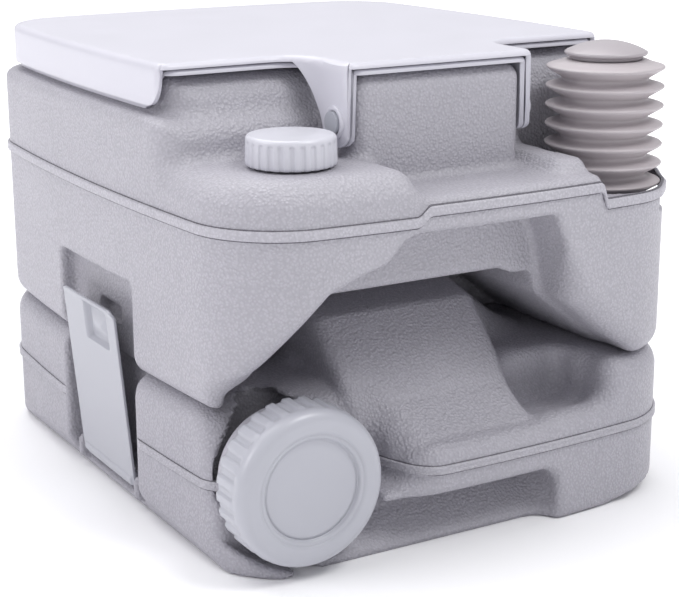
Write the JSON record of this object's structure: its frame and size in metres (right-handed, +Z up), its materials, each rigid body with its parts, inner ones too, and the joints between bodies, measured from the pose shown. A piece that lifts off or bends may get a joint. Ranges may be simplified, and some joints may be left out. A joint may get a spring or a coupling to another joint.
{
  "type": "portable camp toilet",
  "caption": "Two-tank portable flush toilet with hinged seat and lid, bellows pump, slide valve, side latches and a screw-capped waste spout.",
  "frame": {"origin": "centre of the footprint, on the ground", "axes": "+Z up, +Y towards the user's side, +X to the right seen from the hinge side"},
  "size_m": [0.3572, 0.419, 0.295],
  "materials": {
    "tank_hdpe": "leather-grain moulded, cool grey",
    "cover_pp": "satin moulded, light grey",
    "cap_pp": "satin moulded, grey",
    "bellows_pvc": "soft semi-gloss, warm grey",
    "valve_pp": "plain moulded, mid grey",
    "seal_rubber": "plain black rubber",
    "hose_pvc": "clear-grey soft tube",
    "pin_steel": "plain"
  },
  "bodies": {
    "waste_base": {"waste_tank_lower": "tank_hdpe", "waste_tank_upper": "tank_hdpe", "waste_spout": "tank_hdpe", "valve_base": "valve_pp", "valve_cover": "valve_pp", "valve_lip_seal": "seal_rubber", "valve_screws": "pin_steel", "latch_pin_left": "pin_steel", "latch_pin_right": "pin_steel"},
    "upper": {"fresh_tank_lower": "tank_hdpe", "fresh_tank_upper": "tank_hdpe", "bowl_liner": "cover_pp", "filler_neck": "tank_hdpe", "hinge_pin_left": "cap_pp", "hinge_pin_right": "cap_pp", "pump_collar": "valve_pp", "pump_bellows": "bellows_pvc", "pump_valve_housing": "valve_pp", "pickup_tube": "hose_pvc", "flush_hose": "hose_pvc", "flush_nozzle": "valve_pp"},
    "seat": {"seat_ring": "cover_pp", "seat_bumpers": "seal_rubber"},
    "lid": {"lid": "cover_pp", "lid_bumpers": "seal_rubber"},
    "blade": {"valve_blade": "valve_pp", "valve_handle": "cap_pp"},
    "latch_left": {"latch_left": "cap_pp"},
    "latch_right": {"latch_right": "cap_pp"},
    "pump_cap": {"pump_cap": "bellows_pvc"},
    "filler_seal": {"filler_cap_seal": "seal_rubber"},
    "filler_cap": {"filler_cap": "cap_pp"},
    "waste_seal": {"waste_cap_seal": "seal_rubber"},
    "waste_cap": {"waste_cap": "cap_pp"}
  },
  "joints": [
    {"name": "upper_lift", "type": "slide", "parent": "waste_base", "child": "upper", "axis": [0, 0, 1], "range_m": [0, 0.12]},
    {"name": "latch_left_swing", "type": "hinge", "parent": "waste_base", "child": "latch_left", "pos_m": [-0.1635, -0.007, 0.018], "axis": [0, -1, 0], "range_deg": [-5, 80]},
    {"name": "latch_right_swing", "type": "hinge", "parent": "waste_base", "child": "latch_right", "pos_m": [0.1635, -0.007, 0.018], "axis": [0, 1, 0], "range_deg": [-5, 80]},
    {"name": "valve_slide", "type": "slide", "parent": "waste_base", "child": "blade", "axis": [0, 1, 0], "range_m": [0, 0.098]},
    {"name": "seat_lift", "type": "hinge", "parent": "upper", "child": "seat", "pos_m": [0, -0.14, 0.257], "axis": [-1, 0, 0], "range_deg": [-95, 0]},
    {"name": "lid_open", "type": "hinge", "parent": "seat", "child": "lid", "pos_m": [0, -0.14, 0.257], "axis": [1, 0, 0], "range_deg": [0, 95]},
    {"name": "pump_stroke", "type": "slide", "parent": "upper", "child": "pump_cap", "axis": [0, 0, -1], "range_m": [0, 0.042], "stiffness_N_per_m": 250, "springref_m": -0.01, "deforming": ["pump_bellows"]},
    {"name": "filler_cap_rise", "type": "slide", "parent": "upper", "child": "filler_seal", "axis": [0, 0, 1], "range_m": [0, 0.0061]},
    {"name": "filler_cap_turn", "type": "hinge", "parent": "filler_seal", "child": "filler_cap", "pos_m": [-0.103, -0.15, 0.245], "axis": [0, 0, 1], "range_deg": [0, 720]},
    {"name": "waste_cap_advance", "type": "slide", "parent": "waste_base", "child": "waste_seal", "axis": [0, -1, 0], "range_m": [0, 0.0081]},
    {"name": "waste_cap_turn", "type": "hinge", "parent": "waste_seal", "child": "waste_cap", "pos_m": [-0.1215, -0.19, 0.057], "axis": [0, -1, 0], "range_deg": [0, 720]}
  ],
  "couplings": [
    {"joint": "filler_cap_rise", "follows": "filler_cap_turn", "m_per_rad": 0.00047746},
    {"joint": "waste_cap_advance", "follows": "waste_cap_turn", "m_per_rad": 0.00063662}
  ]
}
